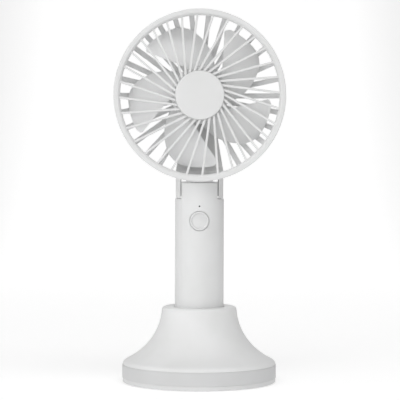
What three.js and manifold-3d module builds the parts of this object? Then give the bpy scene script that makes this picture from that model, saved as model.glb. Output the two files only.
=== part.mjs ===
// Handheld electric fan standing in its flared stand.
// Millimetres, +Z up, the front of the fan faces -Y, +X is to the right seen from the front.
// The origin is the centre of the flat underside of the stand.
import * as THREE from 'three';
import { mergeVertices } from 'three/addons/utils/BufferGeometryUtils.js';
import Module from 'manifold-3d';

const wasm = await Module();
wasm.setup();

// ---------------------------------------------------------------- driving dimensions
const FIT = 0.1;              // gap between two pieces that are fixed to each other
const RUN = 0.3;              // gap between two pieces that move past each other

const HEAD_Z = 172;           // height of the fan axis
const HEAD_R = 51;            // outer radius of the grille ring
const RING_FACE_R = HEAD_R - 2.8;   // where the ring's flat front starts to slope inwards
const RING_WALL_R = HEAD_R - 2;     // inner radius of the ring's outer wall
const RING_INNER_R = HEAD_R - 4;    // inner radius of the ring's front flange
const RING_FRONT = -19;       // front face of the ring
const RING_SEAM = -11;        // where the front and the rear grille meet
const RING_REAR = -2;         // rear face of the ring

const HANDLE_R = 14.65;
const HANDLE_WALL = 1.8;
const HANDLE_BOTTOM = 17.3;
const SHOULDER_Z = 110.2;     // flat top of the round part of the handle
const TONGUE_TOP = 120.4;     // top of the tongue between the ears
const TONGUE_HALF = 10.8;     // half width of the tongue
const EAR_INNER = 11.3;       // inner face of the ears that hold the tongue
const EAR_OUTER = 14.25;      // outer radius of the ears, just inside the handle's
const PIVOT_Z = 116.9;        // fold axis, along X through Y = 0
const EAR_R = 6.2;            // swing radius of the ears about the fold axis
const YOKE_REAR = 6.2;        // rear face of the yoke above the ears

const BUTTON_Z = 97.4;
const BUTTON_R = 5.7;
const LIGHT_Z = 106.2;

const STAND_TOP = 45.6;
const SOCKET_R = HANDLE_R + RUN + 0.05;
const SOCKET_FLOOR = 17;

// ---------------------------------------------------------------- geometry helpers
const RAD = Math.PI / 180;

// Turns a three.js geometry into a closed solid that faces outwards.
function solid(geometry) {
  const bare = geometry.index ? geometry.toNonIndexed() : geometry.clone();
  bare.deleteAttribute('normal');
  bare.deleteAttribute('uv');
  const welded = mergeVertices(bare, 1e-4);
  const corners = welded.index.array;
  const faces = [];
  for (let i = 0; i < corners.length; i += 3) {
    const [a, b, c] = [corners[i], corners[i + 1], corners[i + 2]];
    if (a !== b && b !== c && c !== a) faces.push(a, b, c);
  }
  const points = new Float32Array(welded.attributes.position.array);
  const make = (order) => new wasm.Manifold(new wasm.Mesh({
    numProp: 3, vertProperties: points, triVerts: new Uint32Array(order),
  }));
  const shape = make(faces);
  return shape.volume() > 0 ? shape : make(faces.reverse());
}

// A block given by its two limits along each axis.
function block([x0, x1], [y0, y1], [z0, z1]) {
  const geometry = new THREE.BoxGeometry(x1 - x0, y1 - y0, z1 - z0);
  geometry.translate((x0 + x1) / 2, (y0 + y1) / 2, (z0 + z1) / 2);
  return solid(geometry);
}

// Points an upright (Y) geometry along the named axis and moves it to a centre.
function aim(geometry, axis, [x, y, z]) {
  if (axis === 'z') geometry.rotateX(Math.PI / 2);
  if (axis === 'x') geometry.rotateZ(-Math.PI / 2);
  return solid(geometry.translate(x, y, z));
}

// A round bar along an axis, from one limit to the other.
function bar(axis, radius, [from, to], centre = [0, 0, 0], facets = 24) {
  const geometry = new THREE.CylinderGeometry(radius, radius, to - from, facets);
  geometry.translate(0, (from + to) / 2, 0);
  return aim(geometry, axis, centre);
}

// A turned solid from a profile of [radius, height] points.
function turned(axis, profile, centre = [0, 0, 0], facets = 48) {
  const points = profile.map(([r, h]) => new THREE.Vector2(r, h));
  if (profile[0][0] > 0) points.push(points[0].clone());
  return aim(new THREE.LatheGeometry(points, facets), axis, centre);
}

// A flat outline of [u, v] points. 'x' extrudes a (Y, Z) outline, 'y' extrudes an (X, Z) outline.
function plate(axis, outline, [from, to]) {
  const shape = new THREE.Shape(outline.map(([u, v]) => new THREE.Vector2(u, v)));
  const geometry = new THREE.ExtrudeGeometry(shape, { depth: to - from, bevelEnabled: false });
  if (axis === 'x') {
    geometry.rotateX(Math.PI / 2);
    geometry.rotateZ(Math.PI / 2);
    geometry.translate(from, 0, 0);
  } else {
    geometry.rotateX(Math.PI / 2);
    geometry.translate(0, to, 0);
  }
  return solid(geometry);
}

// A round wire along a smooth path.
function wire(radius, path) {
  const curve = new THREE.CatmullRomCurve3(path.map((p) => new THREE.Vector3(...p)));
  const section = new THREE.Shape();
  section.absarc(0, 0, radius, 0, 2 * Math.PI);
  return solid(new THREE.ExtrudeGeometry(section, {
    steps: 2 * path.length, curveSegments: 3, bevelEnabled: false, extrudePath: curve,
  }));
}

// Points along a circular arc, angles in degrees.
function arc([cu, cv], radius, from, to, steps) {
  return Array.from({ length: steps + 1 }, (_, i) => {
    const angle = (from + (to - from) * i / steps) * RAD;
    return [cu + radius * Math.cos(angle), cv + radius * Math.sin(angle)];
  });
}

// Points along a curve that leaves one point and arrives at another, drawn towards a third.
function bend([u0, v0], [u1, v1], [u2, v2], steps) {
  return Array.from({ length: steps + 1 }, (_, i) => {
    const t = i / steps;
    const s = 1 - t;
    return [s * s * u0 + 2 * s * t * u1 + t * t * u2, s * s * v0 + 2 * s * t * v1 + t * t * v2];
  });
}

const sum = (shapes) => shapes.reduce((all, shape) => all.add(shape));

// Turns a shape about the fan axis, counter-clockwise seen from the front.
const aroundFan = (shape, degrees) => shape
  .translate([0, 0, -HEAD_Z]).rotate([0, -degrees, 0]).translate([0, 0, HEAD_Z]);

const FAN = [0, 0, HEAD_Z];
const PIVOT = [0, 0, PIVOT_Z];

// ---------------------------------------------------------------- finished pieces
const group = new THREE.Group();
group.name = 'handheld_fan';

const FINISHES = {
  plastic: { color: 0xe3e4e4, roughness: 0.55, metalness: 0 },
  blade: { color: 0xdadbdc, roughness: 0.4, metalness: 0 },
  band: { color: 0xc9cacb, roughness: 0.6, metalness: 0 },
  steel: { color: 0xb4b8bc, roughness: 0.35, metalness: 1 },
  darkSteel: { color: 0x6d7277, roughness: 0.5, metalness: 1 },
  brass: { color: 0xb99b52, roughness: 0.4, metalness: 1 },
  copper: { color: 0xb87340, roughness: 0.4, metalness: 1 },
  rubber: { color: 0x77797b, roughness: 0.9, metalness: 0 },
  board: { color: 0x2c6b45, roughness: 0.5, metalness: 0 },
  black: { color: 0x26282b, roughness: 0.6, metalness: 0 },
  cell: { color: 0x4f86b4, roughness: 0.45, metalness: 0 },
  red: { color: 0xb23a34, roughness: 0.5, metalness: 0 },
  clear: { color: 0x5c6064, roughness: 0.2, metalness: 0 },
};

function piece(name, shape, finish) {
  const { vertProperties, triVerts } = shape.getMesh();
  const geometry = new THREE.BufferGeometry();
  geometry.setAttribute('position', new THREE.BufferAttribute(vertProperties, 3));
  geometry.setIndex(new THREE.BufferAttribute(triVerts, 1));
  const mesh = new THREE.Mesh(geometry, new THREE.MeshStandardMaterial(FINISHES[finish]));
  mesh.name = name;
  group.add(mesh);
}

// ---------------------------------------------------------------- stand
const BAND = { bottom: 2.9, top: 10.9, inner: 43.8, outer: 46.2 };
const FOOT = { inner: 37, outer: 42, groove: 1.4, height: 1.3 };
const COVER_BOTTOM = 0.3;
const STAND_EDGE_R = 45.9;
const STAND_FACETS = 36;
const BOSS = { at: 31, radius: 3.4, top: 18.5 };
const WEIGHT = { radius: 26, top: 10.6 };
const SCREW = { head: 2.8, shank: 1.25, seat: 1.6, top: 9 };
const screwSpots = [90, 210, 330].map((a) => [BOSS.at * Math.cos(a * RAD), BOSS.at * Math.sin(a * RAD)]);

// Outer radius of the flare: a quarter of an ellipse that is upright at the rim.
function flareRadius(z) {
  const [rim, reach, drop] = [22.5, 40.2, 36];
  return rim + reach * (1 - Math.sqrt(1 - ((STAND_TOP - z) / drop) ** 2));
}

function flare(from, to, steps, change = (z) => [flareRadius(z), z]) {
  return Array.from({ length: steps + 1 }, (_, i) => change(from + (to - from) * i / steps));
}

function standShell() {
  const [rimRound, shoulderZ, edgeZ] = [2, 14, 11.6];
  const tube = SOCKET_R + 2.2;
  const inside = flare(38, 12, 3, (z) => [flareRadius(z + 2.4) - 1.4, z]);
  const body = turned('z', [
    [0, SOCKET_FLOOR - 2], [tube, SOCKET_FLOOR - 2], [tube, 38],
    ...inside,
    [41.4, BAND.bottom + FIT], [BAND.inner - FIT, BAND.bottom + FIT],
    [BAND.inner - FIT, BAND.top + FIT], [STAND_EDGE_R, BAND.top + FIT],
    ...bend([STAND_EDGE_R, edgeZ], [STAND_EDGE_R, 12.95], [flareRadius(shoulderZ), shoulderZ], 2),
    ...flare(17.5, STAND_TOP - rimRound, 5),
    ...arc([22.5 - rimRound, STAND_TOP - rimRound], rimRound, 15, 90, 2),
    [SOCKET_R + 0.6, STAND_TOP], [SOCKET_R, STAND_TOP - 0.6],
    [SOCKET_R, SOCKET_FLOOR], [0, SOCKET_FLOOR],
  ], [0, 0, 0], STAND_FACETS);
  const atScrews = (radius, limits) => screwSpots.map(([x, y]) => bar('z', radius, limits, [x, y, 0], 12));
  const bosses = atScrews(BOSS.radius, [BAND.bottom + FIT, BOSS.top]);
  const bores = atScrews(SCREW.shank + FIT, [0, SCREW.top + 0.5]);
  return sum([body, ...bosses]).subtract(sum(bores));
}

function standBand() {
  const { bottom, top, inner, outer } = BAND;
  const edge = 0.3;
  return turned('z', [
    [inner, bottom], [outer - edge, bottom], [outer, bottom + edge],
    [outer, top - edge], [outer - edge, top], [inner, top],
  ], [0, 0, 0], STAND_FACETS);
}

function bottomCover() {
  const [round, top] = [0.6, BAND.bottom - FIT];
  const body = turned('z', [
    [0, COVER_BOTTOM], [FOOT.inner - FIT, COVER_BOTTOM], [FOOT.inner - FIT, FOOT.groove],
    [FOOT.outer + FIT, FOOT.groove], [FOOT.outer + FIT, COVER_BOTTOM],
    ...arc([STAND_EDGE_R - round, COVER_BOTTOM + round], round, -90, 0, 2),
    [STAND_EDGE_R, top], [0, top],
  ], [0, 0, 0], STAND_FACETS);
  const holes = screwSpots.flatMap(([x, y]) => [
    bar('z', SCREW.shank + RUN, [0, 5], [x, y, 0], 12),
    bar('z', SCREW.head + RUN, [0, SCREW.seat], [x, y, 0], 16),
  ]);
  return body.subtract(sum(holes));
}

function footScrew([x, y]) {
  const { head, shank, seat, top } = SCREW;
  const [face, under] = [0.5, seat - FIT];
  const body = turned('z', [
    [0, face], [head, face], [head, under], [shank, under], [shank, top], [0, top],
  ], [x, y, 0], 12);
  return body.subtract(block([x - 2, x + 2], [y - 0.4, y + 0.4], [0, face + 0.5]));
}

piece('stand_shell', standShell(), 'plastic');
piece('stand_band', standBand(), 'band');
piece('stand_bottom_cover', bottomCover(), 'plastic');
piece('stand_weight', bar('z', WEIGHT.radius, [BAND.bottom, WEIGHT.top], [0, 0, 0], 36), 'darkSteel');
piece('foot_ring', turned('z', [
  [FOOT.inner, 0], [FOOT.outer, 0], [FOOT.outer, FOOT.height], [FOOT.inner, FOOT.height],
], [0, 0, 0], STAND_FACETS), 'rubber');
screwSpots.forEach((spot, i) => piece(`foot_screw_${i + 1}`, footScrew(spot), 'steel'));

// ---------------------------------------------------------------- handle
const HANDLE_FACETS = 36;
const HANDLE_INNER = HANDLE_R - HANDLE_WALL;
const CAP_TOP = HANDLE_BOTTOM + 1.8;
const CELL = { radius: 9.2, bottom: 20.8, top: 85.8 };
const SPACER = { lower: 27, upper: 74, height: 5 };
const BOARD = { front: -6, rear: -4.8, half: 9, bottom: 88.5, top: 108 };
const PORT = { z: 92, width: 8.9, height: 3.3, front: 6.8, floor: 7.6, mouth: 13.6 };
const PIN = { radius: 1.5, inner: 7.6, outer: 13.2 };
const LEAD_RADIUS = 0.5;
const LEAD_X = { red: -0.8, black: 0.8 };

// A bar with a stadium section (wide in X, low in Z), lying along Y.
function stadium(width, height, [y0, y1], z) {
  const [r, reach] = [height / 2, (width - height) / 2];
  return plate('y', [
    ...arc([reach, z], r, -90, 90, 6), ...arc([-reach, z], r, 90, 270, 6),
  ], [y0, y1]);
}

// The handle before it is split: round body, tongue, and everything cut out of both.
function handleBody() {
  const edge = 0.4;
  const reach = TONGUE_TOP - PIVOT_Z;
  const round = turned('z', [
    [0, CAP_TOP + FIT], [HANDLE_R, CAP_TOP + FIT], [HANDLE_R, SHOULDER_Z - edge],
    [HANDLE_R - edge, SHOULDER_Z], [0, SHOULDER_Z],
  ], [0, 0, 0], HANDLE_FACETS);
  const side = plate('x', [
    [-HANDLE_R, SHOULDER_Z - 1], [reach, SHOULDER_Z - 1],
    ...arc([0, PIVOT_Z], reach, 0, 90, 5), [-HANDLE_R, TONGUE_TOP],
  ], [-TONGUE_HALF, TONGUE_HALF]);
  const keep = bar('z', HANDLE_R, [SHOULDER_Z - 2, TONGUE_TOP + 1], [0, 0, 0], HANDLE_FACETS);
  const tongue = side.intersect(keep);
  const hollow = bar('z', HANDLE_INNER, [0, SHOULDER_Z - HANDLE_WALL], [0, 0, 0], HANDLE_FACETS);
  const channel = block([-PIN.inner + 0.6, PIN.inner - 0.6], [-10, reach - 1.2], [100, TONGUE_TOP - 1.6]);
  return sum([round, tongue]).subtract(sum([
    hollow,
    channel,
    block([-2, 2], [-1.6, reach - 1.6], [100, TONGUE_TOP + 1]),
    bar('x', PIN.radius + FIT, [-20, 20], PIVOT),
    bar('y', BUTTON_R + RUN, [-20, 0], [0, 0, BUTTON_Z], 24),
    bar('y', 0.6, [-20, 0], [0, 0, LIGHT_Z], 12),
    stadium(PORT.width + 2 * RUN, PORT.height + 2 * RUN, [0, 20], PORT.z),
  ]));
}

function handleShells() {
  const body = handleBody();
  const gap = FIT / 2;
  const [wide, tall] = [[-20, 20], [0, 130]];
  return [
    body.intersect(block(wide, [-20, -gap], tall)),
    body.intersect(block(wide, [gap, 20], tall)),
  ];
}

function handleEndCap() {
  const edge = 0.6;
  return turned('z', [
    [0, HANDLE_BOTTOM], [HANDLE_R - edge, HANDLE_BOTTOM], [HANDLE_R, HANDLE_BOTTOM + edge],
    [HANDLE_R, CAP_TOP], [HANDLE_INNER - FIT, CAP_TOP], [HANDLE_INNER - FIT, CAP_TOP + 1.4],
    [HANDLE_INNER - 1.4, CAP_TOP + 1.4], [HANDLE_INNER - 1.4, CAP_TOP], [0, CAP_TOP],
  ], [0, 0, 0], HANDLE_FACETS);
}

function batteryCell() {
  const { radius, bottom, top } = CELL;
  return turned('z', [
    [0, bottom], [radius, bottom], [radius, top - 1], [radius - 0.6, top - 0.4],
    [2.8, top - 0.4], [2.8, top], [0, top],
  ], [0, 0, 0], 24);
}

function cellSpacer(bottom) {
  return turned('z', [
    [CELL.radius + FIT, bottom], [HANDLE_INNER - FIT, bottom],
    [HANDLE_INNER - FIT, bottom + SPACER.height], [CELL.radius + FIT, bottom + SPACER.height],
  ], [0, 0, 0], 24);
}

// A nickel strip that lies across one end of the cell and folds up or down its side.
function cellTab(endZ, outward, length) {
  const [thick, reach] = [0.3, 10.2];
  const [low, high] = outward > 0 ? [endZ + FIT, endZ + FIT + thick] : [endZ - FIT - thick, endZ - FIT];
  const leg = outward > 0 ? [low, high + length] : [low - length, high];
  return block([-2, 2], [-3, reach], [low, high]).add(block([-2, 2], [reach - thick, reach], leg));
}

function usbPort() {
  const { z, width, height, front, floor, mouth } = PORT;
  const skin = 0.3;
  return stadium(width, height, [front, mouth], z)
    .subtract(stadium(width - 2 * skin, height - 2 * skin, [floor, mouth + 1], z));
}

function usbTongue() {
  const [halfWidth, halfThick] = [3.2, 0.35];
  const depth = [PORT.floor + FIT, PORT.mouth - 1];
  return block([-halfWidth, halfWidth], depth, [PORT.z - halfThick, PORT.z + halfThick]);
}

function mainBoard() {
  const { front, rear, half, bottom, top } = BOARD;
  return block([-half, half], [front, rear], [bottom, top]);
}

function indicatorLed() {
  const [halfWidth, halfHeight, thick] = [0.8, 0.6, 1.1];
  const back = BOARD.front - FIT;
  return block([-halfWidth, halfWidth], [back - thick, back], [LIGHT_Z - halfHeight, LIGHT_Z + halfHeight]);
}

function tactSwitch() {
  const [half, face, nub] = [3, BOARD.front - FIT, -8.6];
  return block([-half, half], [nub + 0.5, face], [BUTTON_Z - half, BUTTON_Z + half])
    .add(bar('y', 1.75, [nub, face], [0, 0, BUTTON_Z], 16));
}

function lightPipe() {
  return turned('y', [
    [0, -14.6], [0.5, -14.6], [0.5, -12.4], [1.3, -12.2], [1.3, -8], [0, -8],
  ], [0, 0, LIGHT_Z], 12);
}

function handleLead(x) {
  return wire(LEAD_RADIUS, [
    [x, -4.1, 104], [x, -2.6, 106], [x, -1.6, 110], [x, -0.6, 114], [x, 0.2, TONGUE_TOP - 1],
  ]);
}

const [frontShell, rearShell] = handleShells();
piece('handle_front_shell', frontShell, 'plastic');
piece('handle_rear_shell', rearShell, 'plastic');
piece('handle_end_cap', handleEndCap(), 'plastic');
piece('battery_cell', batteryCell(), 'cell');
piece('cell_spacer_lower', cellSpacer(SPACER.lower), 'black');
piece('cell_spacer_upper', cellSpacer(SPACER.upper), 'black');
piece('cell_tab_lower', cellTab(CELL.bottom, -1, 0), 'steel');
piece('cell_tab_upper', cellTab(CELL.top, 1, 3), 'steel');
piece('main_board', mainBoard(), 'board');
piece('tact_switch', tactSwitch(), 'black');
piece('indicator_led', indicatorLed(), 'clear');
piece('light_pipe', lightPipe(), 'clear');
piece('usb_port', usbPort(), 'steel');
piece('usb_tongue', usbTongue(), 'black');
[['left', -1], ['right', 1]].forEach(([side, sign]) => {
  const limits = sign > 0 ? [PIN.inner, PIN.outer] : [-PIN.outer, -PIN.inner];
  piece(`hinge_pin_${side}`, bar('x', PIN.radius, limits, PIVOT), 'steel');
});
piece('handle_lead_red', handleLead(LEAD_X.red), 'red');
piece('handle_lead_black', handleLead(LEAD_X.black), 'black');

// ---------------------------------------------------------------- power button
function powerButton() {
  const [flange, back, stem] = [6.7, -9.9, -9.3];
  const [dishR, dishDepth] = [4.8, 1.1];
  const rim = -HANDLE_R + 0.2;
  const skin = bar('z', HANDLE_R - 0.05, [80, 115], [0, 0, 0], HANDLE_FACETS);
  const dish = turned('y', [
    [0, rim - 2], [dishR, rim - 2],
    ...bend([dishR, rim], [dishR / 2, rim + dishDepth], [0, rim + dishDepth], 3),
  ], [0, 0, BUTTON_Z], 24);
  return bar('y', BUTTON_R, [-15, back], [0, 0, BUTTON_Z], 24)
    .intersect(skin)
    .subtract(dish)
    .add(bar('y', flange, [back - 0.8, back], [0, 0, BUTTON_Z], 24))
    .add(bar('y', 1.7, [back - 0.1, stem], [0, 0, BUTTON_Z], 16));
}

piece('power_button', powerButton(), 'plastic');

// ---------------------------------------------------------------- head: grilles and yoke
const HUB = { radius: 16, inner: 14.4, front: 0.2, rear: 11 };
const SPOKE = { count: 32, offset: 7.4, phase: 4.2, width: 1.4, front: -17.9, rear: -15.9 };
const CAP = { radius: 14.5, front: -18.9, rear: -17.5, boss: 10.8 };
const RIB = { count: 30, width: 3.1 };
const RING_FACETS = 48;
const YOKE_HALF_ANGLE = 19;   // the yoke's arm replaces the ribs within this angle of straight down

const WASHER = { inner: 1.8, outer: 5.2, face: TONGUE_HALF + 0.15, seat: 11.9 };
const BASE = { front: 3.4, rear: 4.8, radius: 14.3, tube: 3.6, bore: 2.7, tubeFront: -10 };
const BEARING = { bore: 1.1, radius: 2.6, front: -9.9, rear: 4.7 };
const MOTOR_BOARD = { inner: 4.4, outer: 13.4, front: 0.9, rear: 2 };
const MOTOR_SCREW = { head: 1.6, shank: 0.8, at: 11.4 };
const motorScrewSpots = [90, 210, 330].map((a) => [
  MOTOR_SCREW.at * Math.cos(a * RAD), 0, HEAD_Z + MOTOR_SCREW.at * Math.sin(a * RAD),
]);

// The cap's seat and the spokes, which run tangent to a small circle around the fan axis.
function spokes() {
  const { count, offset, phase, width, front, rear } = SPOKE;
  const pitch = 360 / count;
  const from = Math.sqrt(13 ** 2 - offset ** 2);
  const to = Math.sqrt((RING_INNER_R + 0.6) ** 2 - offset ** 2);
  const one = block([from, to], [front, rear], [HEAD_Z + offset - width / 2, HEAD_Z + offset + width / 2]);
  return sum(Array.from({ length: count }, (_, i) => aroundFan(one, phase + pitch * i)));
}

function frontGrille() {
  const ring = turned('y', [
    [HEAD_R, RING_SEAM - FIT], [HEAD_R, RING_FRONT + 0.6], [HEAD_R - 0.6, RING_FRONT],
    [RING_FACE_R, RING_FRONT], [RING_INNER_R, RING_FRONT + 1.8], [RING_INNER_R, SPOKE.rear],
    [RING_WALL_R, SPOKE.rear], [RING_WALL_R, RING_SEAM - FIT],
  ], FAN, RING_FACETS);
  const seat = turned('y', [
    [CAP.boss + FIT, CAP.rear + FIT], [CAP.radius - 0.1, CAP.rear + FIT],
    [CAP.radius - 0.1, SPOKE.rear], [CAP.boss + FIT, SPOKE.rear],
  ], FAN, 32);
  const capRoom = bar('y', CAP.radius + FIT, [-25, CAP.rear + FIT], FAN, 32);
  const boreRoom = bar('y', CAP.boss + FIT, [-25, 0], FAN, 32);
  return sum([ring, spokes().subtract(capRoom).subtract(boreRoom), seat]);
}

function grilleCap() {
  const { radius, front, rear, boss } = CAP;
  const edge = 0.3;
  return turned('y', [
    [0, front], [radius - edge, front], [radius, front + edge], [radius, rear],
    [boss, rear], [boss, SPOKE.rear], [boss - 1.5, SPOKE.rear], [boss - 1.5, rear], [0, rear],
  ], FAN, 32);
}

// One domed rib that points straight up from the hub to the ring.
function rib() {
  const outer = bend([HEAD_R - 1.2, -2.3], [41.5, 8.5], [15.2, 10], 4);
  const inner = bend([15.2, 8], [40, 6.2], [HEAD_R - 3.1, -4], 4);
  const outline = [...outer, ...inner].map(([r, y]) => [y, HEAD_Z + r]);
  return plate('x', outline, [-RIB.width / 2, RIB.width / 2]);
}

function rearGrille() {
  const lip = RING_WALL_R - FIT;
  const inside = RING_INNER_R + 1;
  const round = 1.5;
  const ring = turned('y', [
    [HEAD_R, RING_SEAM], [lip, RING_SEAM], [lip, RING_SEAM - 2], [inside, RING_SEAM - 2],
    [inside, RING_REAR - 0.4], [inside + 0.4, RING_REAR],
    ...arc([HEAD_R - round, RING_REAR - round], round, 90, 0, 2),
  ], FAN, RING_FACETS);
  const hub = turned('y', [
    [0, HUB.front], [HUB.radius, HUB.front], [HUB.radius, HUB.rear - 1],
    [HUB.radius - 1, HUB.rear], [0, HUB.rear],
  ], FAN, 32);
  const ribs = [];
  for (let angle = 0; angle < 360; angle += 360 / RIB.count) {
    if (Math.abs(angle - 270) > YOKE_HALF_ANGLE) ribs.push(aroundFan(rib(), angle - 90));
  }
  const bore = bar('y', HUB.inner, [HUB.front - 9, HUB.rear - 1.6], FAN, 32);
  const posts = motorScrewSpots.map((spot) => bar('y', 2, [BASE.rear + FIT, HUB.rear - 1], spot, 12));
  const threads = motorScrewSpots.map((spot) => bar('y', MOTOR_SCREW.shank + FIT, [4, 8.5], spot, 10));
  const leadHole = block([-2.6, 2.6], [2.9, 5.5], [HEAD_Z - HUB.radius - 1, HEAD_Z - 12]);
  return sum([ring, hub, ...ribs]).subtract(bore).add(sum(posts)).subtract(sum([...threads, leadHole]));
}

// The ears, the block behind the ring and the arm that carries the motor hub.
function neckYoke() {
  const [gapTop, bridgeHalf, bridgeBottom] = [TONGUE_TOP + 2.1, 8, TONGUE_TOP + 0.45];
  const [armTop, armHalf, wideTop] = [HEAD_Z - HUB.radius + 2, 6.2, 127];
  const [flankHalf, flankZ] = [10.3, HEAD_Z - 22];  // the arm fills the space between its two next ribs
  const half = EAR_OUTER;
  const front = plate('y', [
    [EAR_INNER, 100], [half, 100], [half, wideTop], [flankHalf, flankZ], [armHalf, armTop],
    [-armHalf, armTop], [-flankHalf, flankZ], [-half, wideTop], [-half, 100],
    [-EAR_INNER, 100], [-EAR_INNER, gapTop], [-bridgeHalf, gapTop], [-bridgeHalf, bridgeBottom],
    [bridgeHalf, bridgeBottom], [bridgeHalf, gapTop], [EAR_INNER, gapTop],
  ], [-30, 30]);
  const ringRear = RING_REAR + FIT;
  const clearOfBlades = 1.5;
  const side = plate('x', [
    [-9.6, PIVOT_Z - EAR_R], ...arc([0, PIVOT_Z], EAR_R, -90, 0, 6), [YOKE_REAR, 131],
    ...bend([YOKE_REAR, 132], [HUB.rear - 0.4, 146], [HUB.rear - 0.4, armTop], 5),
    [clearOfBlades, armTop], [clearOfBlades, 129], [ringRear, 126.5], [ringRear, 124], [-9.6, 124],
  ], [-20, 20]);
  const round = bar('z', EAR_OUTER, [100, wideTop + 4], [0, 0, 0], HANDLE_FACETS)
    .add(block([-20, 20], [-20, 20], [wideTop, 180]));
  const ringRoom = bar('y', HEAD_R + FIT, [-30, ringRear], FAN, RING_FACETS);
  const hubRoom = bar('y', HUB.radius + FIT, [-30, 30], FAN, 32);
  const channel = block([-2.4, 2.4], [2.9, 5], [100, 170]);
  const pins = bar('x', PIN.radius + FIT, [-PIN.outer - RUN, PIN.outer + RUN], PIVOT);
  const recess = [[-WASHER.seat, -TONGUE_HALF], [TONGUE_HALF, WASHER.seat]]
    .map((limits) => bar('x', WASHER.outer + FIT, limits, PIVOT));
  return front.intersect(side).intersect(round)
    .subtract(sum([ringRoom, hubRoom, channel, pins, ...recess]));
}

function hingeWasher(sign) {
  const { inner, outer, face, seat } = WASHER;
  const [near, far] = sign > 0 ? [face, seat - FIT] : [FIT - seat, -face];
  return bar('x', outer, [near, far], PIVOT).subtract(bar('x', inner, [-20, 20], PIVOT));
}

piece('front_grille', frontGrille(), 'plastic');
piece('grille_cap', grilleCap(), 'plastic');
piece('rear_grille', rearGrille(), 'plastic');
piece('neck_yoke', neckYoke(), 'plastic');
piece('hinge_washer_left', hingeWasher(-1), 'darkSteel');
piece('hinge_washer_right', hingeWasher(1), 'darkSteel');

// ---------------------------------------------------------------- head: fixed half of the motor
const STATOR = { front: -8.5, rear: -3.5, bore: 3.7, root: 5, shoe: 10.8, tip: 12, arm: 1.2, poles: 4 };

function motorBase() {
  const plateShape = turned('y', [
    [BASE.bore, BASE.tubeFront], [BASE.tube, BASE.tubeFront], [BASE.tube, BASE.front],
    [BASE.radius, BASE.front], [BASE.radius, BASE.rear], [BASE.bore, BASE.rear],
  ], FAN, 32);
  const holes = motorScrewSpots.map((spot) => bar('y', MOTOR_SCREW.shank + FIT, [0, 9], spot, 10));
  const notch = block([-2.6, 2.6], [0, 9], [HEAD_Z - 20, HEAD_Z - 8.2]);
  return plateShape.subtract(sum([...holes, notch]));
}

function motorScrew(spot) {
  const { head, shank } = MOTOR_SCREW;
  const [seat, tip] = [BASE.front - FIT, 8];
  const face = seat - 0.9;
  return turned('y', [
    [0, face], [head, face], [head, seat], [shank, seat], [shank, tip], [0, tip],
  ], spot, 10);
}

function statorCore() {
  const { front, rear, bore, root, shoe, tip, arm, poles } = STATOR;
  const ring = (inner, outer) => bar('y', outer, [front, rear], FAN, 32)
    .subtract(bar('y', inner, [front - 1, rear + 1], FAN, 32));
  const slot = block([-1, 1], [front - 1, rear + 1], [HEAD_Z + root + 1, HEAD_Z + 20]);
  const limb = block([root - 0.5, shoe + 0.5], [front, rear], [HEAD_Z - arm, HEAD_Z + arm]);
  const turns = Array.from({ length: poles }, (_, i) => 360 / poles * i);
  return ring(shoe, tip).subtract(sum(turns.map((a) => aroundFan(slot, a + 45))))
    .add(ring(bore, root)).add(sum(turns.map((a) => aroundFan(limb, a))));
}

function coil(angle) {
  const { front, rear, root, shoe, arm } = STATOR;
  const [inner, outer] = [root + 1.1, shoe - 0.8];
  const build = 1.6;
  const around = (grow, limits) => {
    const reach = arm + grow;
    return block(limits, [front - grow, rear + grow], [HEAD_Z - reach, HEAD_Z + reach]);
  };
  const core = around(FIT, [inner - 1, outer + 1]);
  return aroundFan(around(build, [inner, outer]).subtract(core), angle);
}

// A turned ring with a rectangular section, around the fan axis.
function fanRing(inner, outer, front, rear, facets) {
  return turned('y', [[inner, front], [outer, front], [outer, rear], [inner, rear]], FAN, facets);
}

function motorBoard() {
  const { inner, outer, front, rear } = MOTOR_BOARD;
  return fanRing(inner, outer, front, rear, 32);
}

function bearingSleeve() {
  const { bore, radius, front, rear } = BEARING;
  return fanRing(bore, radius, front, rear, 20);
}

function headLead(x) {
  return wire(LEAD_RADIUS, [
    [x, 2.7, HEAD_Z - 9.4], [x, 4, HEAD_Z - 10.6], [x, 4.3, HEAD_Z - 13], [x, 4.1, HEAD_Z - 17],
    [x, 4, 140], [x, 4, 130], [x, 3.9, TONGUE_TOP + 1.2],
  ]);
}

piece('motor_base', motorBase(), 'darkSteel');
piece('bearing_sleeve', bearingSleeve(), 'brass');
piece('stator_core', statorCore(), 'darkSteel');
for (let i = 0; i < STATOR.poles; i += 1) piece(`coil_${i + 1}`, coil(90 * i), 'copper');
piece('motor_board', motorBoard(), 'board');
motorScrewSpots.forEach((spot, i) => piece(`motor_screw_${i + 1}`, motorScrew(spot), 'steel'));
piece('head_lead_red', headLead(LEAD_X.red), 'red');
piece('head_lead_black', headLead(LEAD_X.black), 'black');

// ---------------------------------------------------------------- rotor
const ROTOR = { hub: 16.9, hubInner: 15.5, front: -14.6, rear: -0.8, shaft: 1 };
const BLADE = { count: 5, tip: 42.85, root: 16.2, thick: 1.3 };

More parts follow.
